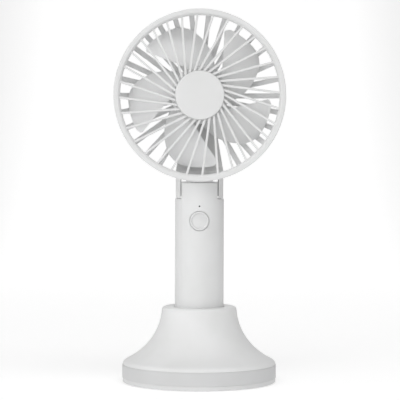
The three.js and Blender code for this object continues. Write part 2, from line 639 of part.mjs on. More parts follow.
// One blade as a grid of points: rows run outwards and close up towards the tip, columns run
// from the swept edge at the back of the hub to the edge at the front. Both tip corners are round.
function blade() {
  const [rows, columns] = [8, 4];
  const sweptEdge = (r) => 5.2 + 1.754 * (r - 27.8) + 6 * Math.max(0, (r - 37.7) / 5.15) ** 3;
  const frontEdge = (r) => 88.8 - 794 / r - 5.8 * Math.max(0, (r - 40.1) / 2.75) ** 2;
  const depth = (r) => 12.2 - 3.4 * (r - BLADE.root) / (BLADE.tip - BLADE.root);
  const points = [];
  const corner = (row, column, back) => {
    const r = BLADE.root + (BLADE.tip - BLADE.root) * (1 - (1 - row / rows) ** 1.7);
    const s = column / columns;
    const angle = (sweptEdge(r) + (frontEdge(r) - sweptEdge(r)) * s) * RAD;
    const y = -1.6 - depth(r) * (s + 0.1 * Math.sin(Math.PI * s)) - (back ? 0 : BLADE.thick);
    return [r * Math.cos(angle), y, HEAD_Z + r * Math.sin(angle)];
  };
  const quad = (a, b, c, d) => points.push(...a, ...b, ...c, ...a, ...c, ...d);
  const at = (row, column) => corner(row, column, false);
  const behind = (row, column) => corner(row, column, true);
  for (let i = 0; i < rows; i += 1) {
    for (let j = 0; j < columns; j += 1) {
      quad(at(i, j), at(i + 1, j), at(i + 1, j + 1), at(i, j + 1));
      quad(behind(i, j), behind(i, j + 1), behind(i + 1, j + 1), behind(i + 1, j));
    }
    quad(at(i, 0), behind(i, 0), behind(i + 1, 0), at(i + 1, 0));
    quad(at(i, columns), at(i + 1, columns), behind(i + 1, columns), behind(i, columns));
  }
  for (let j = 0; j < columns; j += 1) {
    quad(at(0, j), at(0, j + 1), behind(0, j + 1), behind(0, j));
    quad(at(rows, j), behind(rows, j), behind(rows, j + 1), at(rows, j + 1));
  }
  const geometry = new THREE.BufferGeometry();
  geometry.setAttribute('position', new THREE.BufferAttribute(new Float32Array(points), 3));
  return solid(geometry);
}

function impeller() {
  const { hub, hubInner, front, rear, shaft } = ROTOR;
  const edge = 0.8;
  const shell = turned('y', [
    [0, front], [hub - edge, front], [hub, front + edge], [hub, rear], [hubInner, rear],
    [hubInner, front + 2], [0, front + 2],
  ], FAN, 32);
  const one = blade();
  const blades = Array.from({ length: BLADE.count }, (_, i) => aroundFan(one, 360 / BLADE.count * i));
  return sum([shell, ...blades]).subtract(bar('y', shaft + FIT, [front + 0.6, front + 5], FAN, 20));
}

function rotorCup() {
  const outer = ROTOR.hubInner - FIT;
  const front = ROTOR.front + 2 + FIT;
  return turned('y', [
    [ROTOR.shaft + FIT, front], [outer, front], [outer, -1.2], [outer - 0.9, -1.2],
    [outer - 0.9, front + 0.9], [ROTOR.shaft + FIT, front + 0.9],
  ], FAN, 32);
}

function ringMagnet() {
  const [inner, outer] = [12.8, ROTOR.hubInner - FIT - 1];
  return fanRing(inner, outer, -10.8, -1.6, 32);
}

piece('impeller', impeller(), 'blade');
piece('rotor_cup', rotorCup(), 'steel');
piece('ring_magnet', ringMagnet(), 'black');
piece('motor_shaft', bar('y', ROTOR.shaft, [ROTOR.front + 0.7, 4.6], FAN, 20), 'steel');

export default group;
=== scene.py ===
"""Looks of the handheld fan in its flared stand. Lengths are millimetres until a mesh is made."""
import math

import bmesh
import bpy
from mathutils import Matrix, Vector


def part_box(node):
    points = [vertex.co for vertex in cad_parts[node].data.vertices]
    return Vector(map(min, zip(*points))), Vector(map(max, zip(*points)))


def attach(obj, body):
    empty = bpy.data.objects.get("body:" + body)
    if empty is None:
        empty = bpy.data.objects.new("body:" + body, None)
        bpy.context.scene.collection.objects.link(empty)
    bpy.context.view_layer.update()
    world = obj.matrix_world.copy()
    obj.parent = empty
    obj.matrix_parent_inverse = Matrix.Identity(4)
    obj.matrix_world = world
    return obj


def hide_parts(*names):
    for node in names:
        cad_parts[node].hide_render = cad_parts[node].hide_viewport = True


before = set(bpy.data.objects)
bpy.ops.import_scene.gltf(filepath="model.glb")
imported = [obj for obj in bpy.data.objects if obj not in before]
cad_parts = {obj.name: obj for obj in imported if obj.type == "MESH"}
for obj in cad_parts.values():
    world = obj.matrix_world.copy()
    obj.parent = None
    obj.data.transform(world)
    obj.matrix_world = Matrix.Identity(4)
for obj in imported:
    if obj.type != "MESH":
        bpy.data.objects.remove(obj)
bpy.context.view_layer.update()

MM = 0.001


def span(node):
    """Lowest and highest corner of a CAD node, in millimetres."""
    low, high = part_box(node)
    return [v / MM for v in low], [v / MM for v in high]


# ---------------------------------------------------------------- sizes, from the CAD frame
RING_LOW, RING_HIGH = span("front_grille")
HEAD_Z = (RING_LOW[2] + RING_HIGH[2]) / 2
HEAD_R = (RING_HIGH[2] - RING_LOW[2]) / 2
RING_FRONT = RING_LOW[1]
RING_SEAM = RING_HIGH[1]
RING_REAR = -2.0
RING_FACE = HEAD_R - 2.8
RING_INNER = HEAD_R - 4.0
RING_WALL = HEAD_R - 2.0
SPOKE_FRONT, SPOKE_REAR = -17.9, -15.9
CAP_BED = -17.4  # front of the seat that the cap lies on
FAN = (0, 0, HEAD_Z)
HUB_R = 16.0
HUB_REAR = 11.0

HANDLE_LOW, HANDLE_HIGH = span("handle_front_shell")
HANDLE_R = -HANDLE_LOW[1]
HANDLE_INNER = HANDLE_R - 1.8
SHELL_BOTTOM = HANDLE_LOW[2]
TONGUE_TOP = HANDLE_HIGH[2]
SHOULDER_Z = TONGUE_TOP - 10.2
TONGUE_HALF = 10.8
TONGUE_REAR = 3.5
PIVOT = (0, 0, TONGUE_TOP - TONGUE_REAR)
PIVOT_Z = PIVOT[2]
PIN_HOLE_R = 1.6
EAR_R = 6.2
EAR_INNER = 11.3
EAR_OUTER = 14.25

CAP_LOW, CAP_HIGH = span("grille_cap")
CAP_R = (CAP_HIGH[0] - CAP_LOW[0]) / 2
BUTTON_LOW, BUTTON_HIGH = span("power_button")
BUTTON_Z = (BUTTON_LOW[2] + BUTTON_HIGH[2]) / 2
BUTTON_R = 5.7
LIGHT_Z = sum(corner[2] for corner in span("light_pipe")) / 2
PORT_LOW, PORT_HIGH = span("usb_port")
PORT_WIDTH = 2 * PORT_HIGH[0]
PORT_HEIGHT = PORT_HIGH[2] - PORT_LOW[2]
PORT_Z = (PORT_LOW[2] + PORT_HIGH[2]) / 2

STAND_HIGH = span("stand_shell")[1]
STAND_TOP = STAND_HIGH[2]
STAND_EDGE_R = STAND_HIGH[0]
SOCKET_R = HANDLE_R + 0.35
SOCKET_FLOOR = 17.0
BAND_LOW, BAND_HIGH = span("stand_band")
BAND_BED_R = 43.7  # the wall behind the band

PAST = 20  # far enough sideways and in depth for a tool to cut right through the neck or the handle


# ---------------------------------------------------------------- outlines
def arc(centre, radius, start, end, steps):
    """Points along a circular arc, angles in degrees."""
    points = []
    for i in range(steps + 1):
        angle = math.radians(start + (end - start) * i / steps)
        points.append((centre[0] + radius * math.cos(angle), centre[1] + radius * math.sin(angle)))
    return points


def bend(start, pull, end, steps):
    """Points along a curve from start to end that is drawn towards pull."""
    points = []
    for i in range(steps + 1):
        t = i / steps
        s = 1 - t
        points.append(tuple(s * s * a + 2 * s * t * b + t * t * c for a, b, c in zip(start, pull, end)))
    return points


def soften(outline, radius, steps):
    """Rounds each corner of a closed outline that turns by more than 25 degrees."""
    count = len(outline)
    result = []
    for i, corner in enumerate(outline):
        here = Vector(corner)
        before = Vector(outline[i - 1]) - here
        after = Vector(outline[(i + 1) % count]) - here
        turn = math.pi - before.angle(after)
        if turn < math.radians(25):
            result.append(corner)
            continue
        reach = min(radius, 0.45 * before.length, 0.45 * after.length)
        result += bend(here + before.normalized() * reach, here, here + after.normalized() * reach, steps)
    return [tuple(point) for point in result]


# ---------------------------------------------------------------- meshes
def put(name, verts, faces):
    """Makes an object from millimetre points."""
    mesh = bpy.data.meshes.new(name)
    mesh.from_pydata([Vector(v) * MM for v in verts], [], faces)
    obj = bpy.data.objects.new(name, mesh)
    bpy.context.scene.collection.objects.link(obj)
    tidy(obj)
    return obj


def tidy(obj):
    """Welds the mesh, turns its faces outwards and shades it smooth, with sharp edges kept crisp."""
    merge, crisp = 1e-7, math.radians(35)
    work = bmesh.new()
    work.from_mesh(obj.data)
    bmesh.ops.remove_doubles(work, verts=work.verts, dist=merge)
    bmesh.ops.recalc_face_normals(work, faces=work.faces)
    for face in work.faces:
        face.smooth = True
    for edge in work.edges:
        edge.smooth = len(edge.link_faces) != 2 or edge.calc_face_angle(0) < crisp
    work.to_mesh(obj.data)
    work.free()


def freeze(obj):
    """Bakes an object's modifiers into its mesh."""
    graph = bpy.context.evaluated_depsgraph_get()
    mesh = bpy.data.meshes.new_from_object(obj.evaluated_get(graph))
    obj.modifiers.clear()
    old = obj.data
    obj.data = mesh
    bpy.data.meshes.remove(old)


def carve(obj, tools, operation="DIFFERENCE"):
    """Cuts, joins or intersects an object with the tools, which are used up."""
    for tool in tools:
        step = obj.modifiers.new("carve", "BOOLEAN")
        step.operation = operation
        step.solver = "EXACT"
        step.object = tool
    freeze(obj)
    for tool in tools:
        bpy.data.objects.remove(tool)
    return obj


def round_edges(obj, width, segments=2, angle=40):
    """Cleans up after carving, then bevels every edge that turns by more than the angle."""
    merge = 1e-6
    work = bmesh.new()
    work.from_mesh(obj.data)
    bmesh.ops.remove_doubles(work, verts=work.verts, dist=merge)
    bmesh.ops.dissolve_degenerate(work, edges=work.edges, dist=merge)
    work.to_mesh(obj.data)
    work.free()
    bevel = obj.modifiers.new("bevel", "BEVEL")
    bevel.width = width * MM
    bevel.segments = segments
    bevel.limit_method = "ANGLE"
    bevel.angle_limit = math.radians(angle)
    bevel.use_clamp_overlap = True
    freeze(obj)
    tidy(obj)
    return obj


def weld(name, parts):
    """Joins several objects into one."""
    work = bmesh.new()
    for part in parts:
        work.from_mesh(part.data)
        bpy.data.objects.remove(part)
    mesh = bpy.data.meshes.new(name)
    work.to_mesh(mesh)
    work.free()
    obj = bpy.data.objects.new(name, mesh)
    bpy.context.scene.collection.objects.link(obj)
    return obj


def turned(name, outline, axis="z", centre=(0, 0, 0), segments=144):
    """Spins an outline of (radius, height) points about an axis."""
    closed = outline[0][0] > 1e-6
    verts = []
    for radius, height in outline:
        for j in range(segments):
            angle = 2 * math.pi * j / segments
            u, v = radius * math.cos(angle), radius * math.sin(angle)
            verts.append((u, v, height) if axis == "z" else (u, height, v))
    verts = [tuple(a + b for a, b in zip(v, centre)) for v in verts]
    faces = []
    count = len(outline)
    for i in range(count if closed else count - 1):
        k = (i + 1) % count
        for j in range(segments):
            m = (j + 1) % segments
            faces.append((i * segments + j, i * segments + m, k * segments + m, k * segments + j))
    return put(name, verts, faces)


def prism(name, outline, limits, axis):
    """Extrudes an outline: along 'x' it is (y, z), along 'y' it is (x, z), along 'z' it is (x, y)."""
    place = {
        "x": lambda p, t: (t, p[0], p[1]),
        "y": lambda p, t: (p[0], t, p[1]),
        "z": lambda p, t: (p[0], p[1], t),
    }[axis]
    count = len(outline)
    verts = [place(p, t) for t in limits for p in outline]
    faces = [tuple(range(count)), tuple(range(count, 2 * count))]
    faces += [(i, (i + 1) % count, count + (i + 1) % count, count + i) for i in range(count)]
    return put(name, verts, faces)


def block(name, xs, ys, zs):
    """A box, for the tools that cut or keep a region."""
    corners = [(xs[0], zs[0]), (xs[1], zs[0]), (xs[1], zs[1]), (xs[0], zs[1])]
    return prism(name, corners, ys, "y")


def rod(name, radius, limits, axis, centre=(0, 0, 0), segments=48):
    """A round bar, for posts and for the tools that cut holes."""
    circle = arc((0, 0), radius, 0, 360, segments)[:-1]
    obj = prism(name, circle, limits, axis)
    obj.data.transform(Matrix.Translation(Vector(centre) * MM))
    return obj


def stadium(name, width, height, limits, z):
    """A bar with round ends, along y."""
    r, reach = height / 2, (width - height) / 2
    outline = arc((reach, z), r, -90, 90, 12) + arc((-reach, z), r, 90, 270, 12)
    return prism(name, outline, limits, "y")


def around_fan(angle):
    """Turns about the fan axis, counter-clockwise seen from the front."""
    centre = Vector(FAN) * MM
    turn = Matrix.Rotation(-math.radians(angle), 4, "Y")
    return Matrix.Translation(centre) @ turn @ Matrix.Translation(-centre)


def ring_of(name, part, angles):
    """Copies one object to several angles around the fan axis and joins the copies."""
    copies = []
    for angle in angles:
        copy = part.copy()
        copy.data = part.data.copy()
        copy.data.transform(around_fan(angle))
        bpy.context.scene.collection.objects.link(copy)
        copies.append(copy)
    bpy.data.objects.remove(part)
    return weld(name, copies)


def done(obj, material, body, slot, *nodes):
    """Gives a piece its material and body and hides the CAD nodes it stands for; the slot is not used."""
    obj.data.materials.clear()
    obj.data.materials.append(material)
    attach(obj, body)
    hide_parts(*nodes)
    return obj


# ---------------------------------------------------------------- materials
def map_range(tree, source, low, high, new_low, new_high):
    """Adds a node that carries one range of values to another."""
    node = tree.nodes.new("ShaderNodeMapRange")
    keys = ("From Min", "From Max", "To Min", "To Max")
    for key, value in zip(keys, (low, high, new_low, new_high)):
        node.inputs[key].default_value = value
    tree.links.new(source, node.inputs["Value"])
    return node.outputs["Result"]


def finish(name, colour, roughness, grain=1.0, mottle=0.02, scuff=0.06, coat=0.0, metallic=0.0):
    """A surface with fine grain in its bump, uneven gloss, faint colour drift and rubbed spots."""
    grain_scale, wave_scale, drift_scale, rub_scale = 3500, 60, 45, 160
    grain_height, wave_height = 0.00006, 0.0002
    material = bpy.data.materials.new(name)
    material.use_nodes = True
    tree = material.node_tree
    nodes, links = tree.nodes, tree.links
    shader = nodes["Principled BSDF"]
    shader.inputs["Metallic"].default_value = metallic
    shader.inputs["Coat Weight"].default_value = coat
    shader.inputs["Coat Roughness"].default_value = 0.2
    place = nodes.new("ShaderNodeTexCoord")

    def noise(scale, detail, rough=0.5):
        """Noise that is fixed to the piece; a scale of 1000 is about a millimetre."""
        node = nodes.new("ShaderNodeTexNoise")
        node.inputs["Scale"].default_value = scale
        node.inputs["Detail"].default_value = detail
        node.inputs["Roughness"].default_value = rough
        links.new(place.outputs["Object"], node.inputs["Vector"])
        return node.outputs["Fac"]

    def bump(source, strength, height):
        """Relief of a given height in metres."""
        node = nodes.new("ShaderNodeBump")
        node.inputs["Strength"].default_value = strength
        node.inputs["Distance"].default_value = height
        links.new(source, node.inputs["Height"])
        return node

    drift = nodes.new("ShaderNodeMix")
    drift.data_type = "RGBA"
    darker = [c * (1 - mottle) for c in colour]
    lighter = [min(1, c * (1 + mottle)) for c in colour]
    darker[2] *= 0.995  # the darker spots are a trace warmer
    factor, first, second = drift.inputs[0], drift.inputs[6], drift.inputs[7]
    first.default_value = (*darker, 1)
    second.default_value = (*lighter, 1)
    links.new(map_range(tree, noise(drift_scale, 3), 0.35, 0.65, 0, 1), factor)
    links.new(drift.outputs[2], shader.inputs["Base Color"])

    rub = noise(rub_scale, 5, 0.65)
    rubbed = map_range(tree, rub, 0.45, 0.75, roughness + scuff / 2, roughness - scuff)
    links.new(rubbed, shader.inputs["Roughness"])

    waves = bump(noise(wave_scale, 1), 0.08, wave_height)
    grains = bump(noise(grain_scale, 2), 0.12 * grain, grain_height)
    links.new(waves.outputs["Normal"], grains.inputs["Normal"])
    links.new(grains.outputs["Normal"], shader.inputs["Normal"])
    return material


WHITE = finish("white_plastic", (0.72, 0.723, 0.723), 0.5)
CAP_WHITE = finish("cap_plastic", (0.72, 0.723, 0.723), 0.35, grain=0.6)
BLADE = finish("blade_plastic", (0.855, 0.858, 0.861), 0.32, grain=0.3, coat=0.15)
# painted light: the rear grille is the same white plastic as the front, painted lighter so the ribs and hub
# deep in the head look lit
REAR_WHITE_PAINTED_LIGHT = finish("rear_plastic_painted_light", (0.9, 0.902, 0.904), 0.48)
STAND_WHITE = finish("stand_plastic", (0.75, 0.753, 0.753), 0.5, grain=1.4)
# painted shade: the bottom cover is the stand's white plastic, painted darker as shade under the band,
# against the light of the glowing paper below
COVER_WHITE_PAINTED_SHADE = finish("cover_plastic_painted_shade", (0.66, 0.663, 0.665), 0.5, grain=1.4)
BAND_GREY = finish("band_plastic", (0.59, 0.593, 0.596), 0.55, grain=2.2)
BUTTON_WHITE = finish("button_plastic", (0.695, 0.698, 0.698), 0.33, grain=0.5)
STEEL = finish("steel", (0.62, 0.63, 0.65), 0.32, grain=1.5, mottle=0.05, metallic=1.0)
DARK_STEEL = finish("dark_steel", (0.26, 0.27, 0.29), 0.45, grain=2, mottle=0.1, metallic=1.0)
BRASS = finish("brass", (0.62, 0.46, 0.18), 0.36, grain=2, mottle=0.08, metallic=1.0)
COPPER = finish("copper_wire", (0.60, 0.24, 0.09), 0.32, grain=3, mottle=0.12, coat=0.6, metallic=1.0)
RUBBER = finish("rubber", (0.17, 0.174, 0.178), 0.8, grain=3, mottle=0.06)
BOARD = finish("circuit_board", (0.03, 0.16, 0.07), 0.38, grain=0.8, mottle=0.15, coat=0.4)
BLACK = finish("black_plastic", (0.022, 0.023, 0.025), 0.5, grain=2)
CELL = finish("cell_wrap", (0.07, 0.22, 0.46), 0.3, grain=0.4, coat=0.4)
RED_WIRE = finish("red_wire", (0.45, 0.03, 0.025), 0.45, grain=1)
SMOKED = finish("smoked_plastic", (0.05, 0.053, 0.057), 0.15, grain=0.2, coat=0.5)


# ---------------------------------------------------------------- stand
def flare_radius(z):
    """Outer radius of the flare: a quarter of an ellipse that is upright at the rim."""
    rim, reach, drop = 22.5, 40.2, 36
    return rim + reach * (1 - math.sqrt(1 - ((STAND_TOP - z) / drop) ** 2))


def flare(start, end, steps, inset=0.0, drop=0.0):
    """Points down or up the flare; inset and drop give the inner face of its wall."""
    heights = [start + (end - start) * i / steps for i in range(steps + 1)]
    return [(flare_radius(z + drop) - inset, z) for z in heights]


def stand_shell():
    """Turned in one piece: the flare, the socket inside it and the step above the band."""
    tube, tube_top, tube_bottom = SOCKET_R + 2.2, 38, SOCKET_FLOOR - 2
    wall, wall_drop, wall_foot = 1.4, 2.4, 12
    seat_r, seat = 41.4, BAND_LOW[2] + 0.1
    step, chamfer = BAND_HIGH[2] + 0.03, 0.1
    edge_pull, edge_top, flare_foot = 12.9, 13.9, 14.5
    rim, lip = 2, 0.9
    profile = [(0, tube_bottom), (tube, tube_bottom), (tube, tube_top)]
    profile += flare(tube_top, wall_foot, 12, inset=wall, drop=wall_drop)
    profile += [(seat_r, seat), (BAND_BED_R, seat), (BAND_BED_R, step), (STAND_EDGE_R - chamfer, step)]
    edge = [(STAND_EDGE_R, step + chamfer), (STAND_EDGE_R, edge_pull), (flare_radius(edge_top), edge_top)]
    profile += bend(*edge, 8)
    profile += flare(flare_foot, STAND_TOP - rim, 36)
    profile += arc((20.5, STAND_TOP - rim), rim, 8, 90, 8)
    profile += bend((SOCKET_R + lip, STAND_TOP), (SOCKET_R, STAND_TOP), (SOCKET_R, STAND_TOP - lip), 5)
    profile += [(SOCKET_R, SOCKET_FLOOR), (0, SOCKET_FLOOR)]
    shell = turned("stand_shell_skin", profile)
    done(shell, STAND_WHITE, "stand", "white_plastic", "stand_shell")


def stand_band():
    """The grey band, a plain ring let into the foot of the stand."""
    low, high, outer = BAND_LOW[2], BAND_HIGH[2], BAND_HIGH[0]
    inner = BAND_BED_R + 0.1
    profile = soften([(inner, low), (outer, low), (outer, high), (inner, high)], 0.2, 3)
    done(turned("stand_band_skin", profile), BAND_GREY, "stand", "band_plastic", "stand_band")


def foot_screw_spots():
    """Where the three screws under the stand are, seen from above."""
    spots = []
    for i in range(3):
        low, high = span(f"foot_screw_{i + 1}")
        spots.append(((low[0] + high[0]) / 2, (low[1] + high[1]) / 2, 0))
    return spots


def bottom_cover():
    """The thin lip under the band, with a groove for the foot ring and seats for the screws."""
    low, high = span("stand_bottom_cover")
    bottom, top = low[2], high[2]
    groove_inner, groove_outer, groove_top = 36.9, 42.1, 1.4
    lip, cover_top = 0.6, BAND_LOW[2] - 0.03
    profile = [(0, bottom), (groove_inner, bottom), (groove_inner, groove_top)]
    profile += [(groove_outer, groove_top), (groove_outer, bottom)]
    profile += arc((STAND_EDGE_R - lip, bottom + lip), lip, -90, 0, 8)
    profile += [(STAND_EDGE_R, top), (STAND_EDGE_R - 0.05, cover_top), (0, cover_top)]
    cover = turned("bottom_cover_skin", profile)
    seat_r, seat_top, hole_r, hole_top = 3.1, 1.6, 1.55, 4
    tools = []
    for spot in foot_screw_spots():
        tools.append(rod("seat", seat_r, (-1, seat_top), "z", spot))
        tools.append(rod("hole", hole_r, (-1, hole_top), "z", spot))
    carve(cover, tools)
    tidy(cover)
    # painted shade: the lip under the band gets the darker-painted copy of the white plastic
    done(cover, COVER_WHITE_PAINTED_SHADE, "stand", "white_plastic", "stand_bottom_cover")


def foot_ring():
    """The rubber ring that the stand rests on."""
    outer, _, top = span("foot_ring")[1]
    inner = outer - 5
    profile = soften([(inner, 0), (outer, 0), (outer, top), (inner, top)], 0.4, 4)
    done(turned("foot_ring_skin", profile), RUBBER, "stand", "rubber", "foot_ring")


def foot_screws():
    """Cross-head screws with a domed head and a turned thread."""
    head_r, under, core, crest, turns = 2.8, 1.5, 1.0, 1.25, 14
    slot_reach, slot_half, slot_depth = 1.7, 0.35, 0.6
    for i, spot in enumerate(foot_screw_spots()):
        low, high = span(f"foot_screw_{i + 1}")
        face, top = low[2], high[2]
        profile = [(0, face)] + bend((head_r - 0.6, face), (head_r, face), (head_r, face + 0.5), 4)
        profile += [(head_r, under), (crest, under)]
        for k in range(turns):
            z = under + 0.6 + (top - under - 1) * k / turns
            profile += [(crest, z), (core, z + 0.25)]
        profile += [(0.8, top - 0.2), (0, top)]
        screw = turned(f"foot_screw_skin_{i + 1}", profile, centre=spot, segments=32)
        x, y, _ = spot
        depth = (face - 1, face + slot_depth)
        carve(screw, [
            block("slot", (x - slot_reach, x + slot_reach), (y - slot_half, y + slot_half), depth),
            block("slot", (x - slot_half, x + slot_half), (y - slot_reach, y + slot_reach), depth),
        ])
        tidy(screw)
        done(screw, STEEL, "stand", "steel", f"foot_screw_{i + 1}")


# ---------------------------------------------------------------- handle
def tongue_solid():
    """The tongue between the ears: round at its rear top, wider at its foot, crowned in front."""
    side = [(-PAST, SHOULDER_Z - 1), (TONGUE_REAR, SHOULDER_Z - 1)]
    side += arc((0, PIVOT_Z), TONGUE_REAR, 0, 90, 16) + [(-PAST, TONGUE_TOP)]
    tongue = prism("tongue", side, (-TONGUE_HALF, TONGUE_HALF), "x")
    foot_half, foot_top_half, foot_front = 11.2, 10.65, -6
    foot_bottom, foot_top = SHOULDER_Z - 0.5, SHOULDER_Z + 2
    foot = [(-foot_half, foot_bottom), (foot_half, foot_bottom)]
    foot += [(foot_top_half, foot_top), (-foot_top_half, foot_top)]
    carve(tongue, [prism("foot", foot, (foot_front, TONGUE_REAR - 0.1), "y")], "UNION")
    crown, above = 1.2, 0.05
    keep = [(0, SHOULDER_Z - 2), (HANDLE_R, SHOULDER_Z - 2)]
    keep += arc((HANDLE_R - crown, TONGUE_TOP + above - crown), crown, 0, 90, 8)
    keep += [(0, TONGUE_TOP + above)]
    return carve(tongue, [turned("keep", keep)], "INTERSECT")


def handle_solid():
    """The whole handle before it is split into its two shells."""
    shoulder_inside = SHOULDER_Z - (HANDLE_R - HANDLE_INNER)
    body = turned("handle", [
        (0, shoulder_inside), (HANDLE_INNER, shoulder_inside), (HANDLE_INNER, SHELL_BOTTOM),
        (HANDLE_R, SHELL_BOTTOM), (HANDLE_R, SHOULDER_Z), (0, SHOULDER_Z),
    ])
    carve(body, [tongue_solid()], "UNION")
    port_gap = 0.6
    # inside the tongue and the shoulder: a channel for the leads and the slot where they come out
    return carve(body, [
        block("channel", (-7, 7), (-10, TONGUE_REAR - 1.2), (100, TONGUE_TOP - 1.6)),
        block("lead_slot", (-2, 2), (-1.6, TONGUE_REAR - 1.6), (110, TONGUE_TOP + 1)),
        rod("pin_bore", PIN_HOLE_R, (-PAST, PAST), "x", PIVOT),
        rod("light_hole", 0.53, (-PAST, 0), "y", (0, 0, LIGHT_Z), 24),
        stadium("port_hole", PORT_WIDTH + port_gap, PORT_HEIGHT + port_gap, (0, PAST), PORT_Z),
    ])


def handle_shells():
    """The front and rear half of the handle, a hair apart, with the button's hole in the front one."""
    whole = handle_solid()
    half_seam, button_gap = 0.05, 0.23
    for name, limits in (("front", (-PAST, -half_seam)), ("rear", (half_seam, PAST))):
        shell = whole.copy()
        shell.data = whole.data.copy()
        shell.name = f"handle_{name}_skin"
        bpy.context.scene.collection.objects.link(shell)
        carve(shell, [block("half", (-PAST, PAST), limits, (0, 130))], "INTERSECT")
        round_edges(shell, 0.22)
        if name == "front":
            hole = rod("button_hole", BUTTON_R + button_gap, (-PAST, 0), "y", (0, 0, BUTTON_Z), 144)
            carve(shell, [hole])
            tidy(shell)
        done(shell, WHITE, "handle", "white_plastic", f"handle_{name}_shell")
    bpy.data.objects.remove(whole)


def handle_end_cap():
    """A disc with a rounded edge and a short collar inside the shells."""
    low, high = span("handle_end_cap")
    bottom, top, collar_top = low[2], low[2] + 1.8, high[2]
    edge, collar_outer, collar_inner = 1, HANDLE_INNER - 0.1, HANDLE_INNER - 1.4
    profile = [(0, bottom)] + arc((HANDLE_R - edge, bottom + edge), edge, -90, 0, 8)
    profile += [(HANDLE_R, top), (collar_outer, top), (collar_outer, collar_top)]
    profile += [(collar_inner, collar_top), (collar_inner, top), (0, top)]
    done(turned("end_cap_skin", profile), WHITE, "handle", "white_plastic", "handle_end_cap")


# the button's rounded edge, then the dish: a short curved wall and a shallow hollow
BUTTON_LIP = 0.15
BUTTON_DISH_R = 4.8
BUTTON_DISH_WALL = 0.8
BUTTON_DISH_STEP = 0.75
BUTTON_DISH_DEPTH = 0.5


def button_sink(r):
    """How far the button's face lies under the handle's round surface, at radius r on the button."""
    down = min(1, max(0, (BUTTON_DISH_R - r) / BUTTON_DISH_WALL))
    hollow = 1 - min(1, r / BUTTON_DISH_R) ** 2
    over_lip = max(0, r - (BUTTON_R - BUTTON_LIP))
    rounded = BUTTON_LIP - math.sqrt(max(0, BUTTON_LIP ** 2 - over_lip ** 2))
    return BUTTON_DISH_STEP * down * (2 - down) + BUTTON_DISH_DEPTH * hollow + rounded


def power_button():
    """A dished button whose face follows the round of the handle, with a flange and a stem behind.

    Its points come in rings: the face from the middle outwards, then the flange and the stem.
    """
    surface = HANDLE_R - 0.05  # flush with the handle, never proud of it
    segments, face_rings = 96, 28
    turn = [2 * math.pi * j / segments for j in range(segments)]
    radii = [BUTTON_R * (i / face_rings) for i in range(1, face_rings - 1)]
    radii += [BUTTON_R - inset for inset in (BUTTON_LIP, 0.07, 0.02, 0)]
    verts = [(0, -surface + button_sink(0), BUTTON_Z)]
    for r in radii:
        for angle in turn:
            x, z = r * math.cos(angle), r * math.sin(angle)
            verts.append((x, -math.sqrt(surface ** 2 - x ** 2) + button_sink(r), BUTTON_Z + z))
    flange_r, flange, stem_r, stem_end = 6.7, 0.8, 1.7, BUTTON_HIGH[1]
    back = stem_end - 0.6
    outline = [
        (BUTTON_R, back - flange), (flange_r - 0.1, back - flange), (flange_r, back - flange + 0.1),
        (flange_r, back - 0.1), (flange_r - 0.1, back), (stem_r, back),
        (stem_r, stem_end - 0.2), (stem_r - 0.2, stem_end),
    ]
    for r, y in outline:
        verts += [(r * math.cos(angle), y, BUTTON_Z + r * math.sin(angle)) for angle in turn]
    verts.append((0, stem_end, BUTTON_Z))
    rings = len(radii) + len(outline)
    last = 1 + (rings - 1) * segments
    faces = []
    for j in range(segments):
        k = (j + 1) % segments
        faces.append((0, 1 + j, 1 + k))
        for i in range(rings - 1):
            a, b = 1 + i * segments, 1 + (i + 1) * segments
            faces.append((a + j, b + j, b + k, a + k))
        faces.append((last + j, len(verts) - 1, last + k))
    button = put("power_button_skin", verts, faces)
    done(button, BUTTON_WHITE, "button", "white_plastic", "power_button")


def usb_port():
    """A pressed steel shell with rolled edges."""
    front, rear = PORT_LOW[1], PORT_HIGH[1]
    both_walls, floor_wall = 0.6, 0.8
    shell = stadium("usb_port_skin", PORT_WIDTH, PORT_HEIGHT, (front, rear), PORT_Z)
    opening = (PORT_WIDTH - both_walls, PORT_HEIGHT - both_walls)
    carve(shell, [stadium("mouth", *opening, (front + floor_wall, rear + 1), PORT_Z)])
    round_edges(shell, 0.1)
    done(shell, STEEL, "handle", "steel", "usb_port")


# ---------------------------------------------------------------- head
def spoke_section(offset):
    """Section of a front spoke: narrow, deeper than wide, with rounded edges."""
    half = 0.7
    low, high = offset - half, offset + half
    return soften([(SPOKE_FRONT, low), (SPOKE_REAR, low), (SPOKE_REAR, high), (SPOKE_FRONT, high)], 0.28, 4)


def front_grille():
    """The front ring, the seat of the cap, and 32 spokes that pass beside the axis."""
    count, offset, phase = 32, 7.4, 4.2
    chamfer, seat_inner, spoke_root, spoke_end = 1.8, 10.9, 12.5, RING_INNER + 0.7
    ring_profile = [
        (HEAD_R, RING_SEAM), (HEAD_R, RING_FRONT), (RING_FACE, RING_FRONT),
        (RING_INNER, RING_FRONT + chamfer), (RING_INNER, SPOKE_REAR), (RING_WALL, SPOKE_REAR),
        (RING_WALL, RING_SEAM),
    ]
    ring = turned("ring", soften(ring_profile, 0.55, 5), "y", FAN, 240)
    seat_outer = CAP_R - 0.1
    seat = turned("seat", [
        (seat_inner, CAP_BED), (seat_outer, CAP_BED), (seat_outer, SPOKE_REAR), (seat_inner, SPOKE_REAR),
    ], "y", FAN, 120)
    limits = [math.sqrt(r ** 2 - offset ** 2) for r in (spoke_root, spoke_end)]
    spoke = prism("spoke", spoke_section(offset + HEAD_Z), limits, "x")
    carve(spoke, [rod("cap_room", CAP_R + 0.1, (-25, CAP_BED), "y", FAN, 96)])
    tidy(spoke)
    spokes = ring_of("spokes", spoke, [phase + 360 / count * i for i in range(count)])
    grille = weld("front_grille_skin", [ring, seat, spokes])
    done(grille, WHITE, "head", "white_plastic", "front_grille")


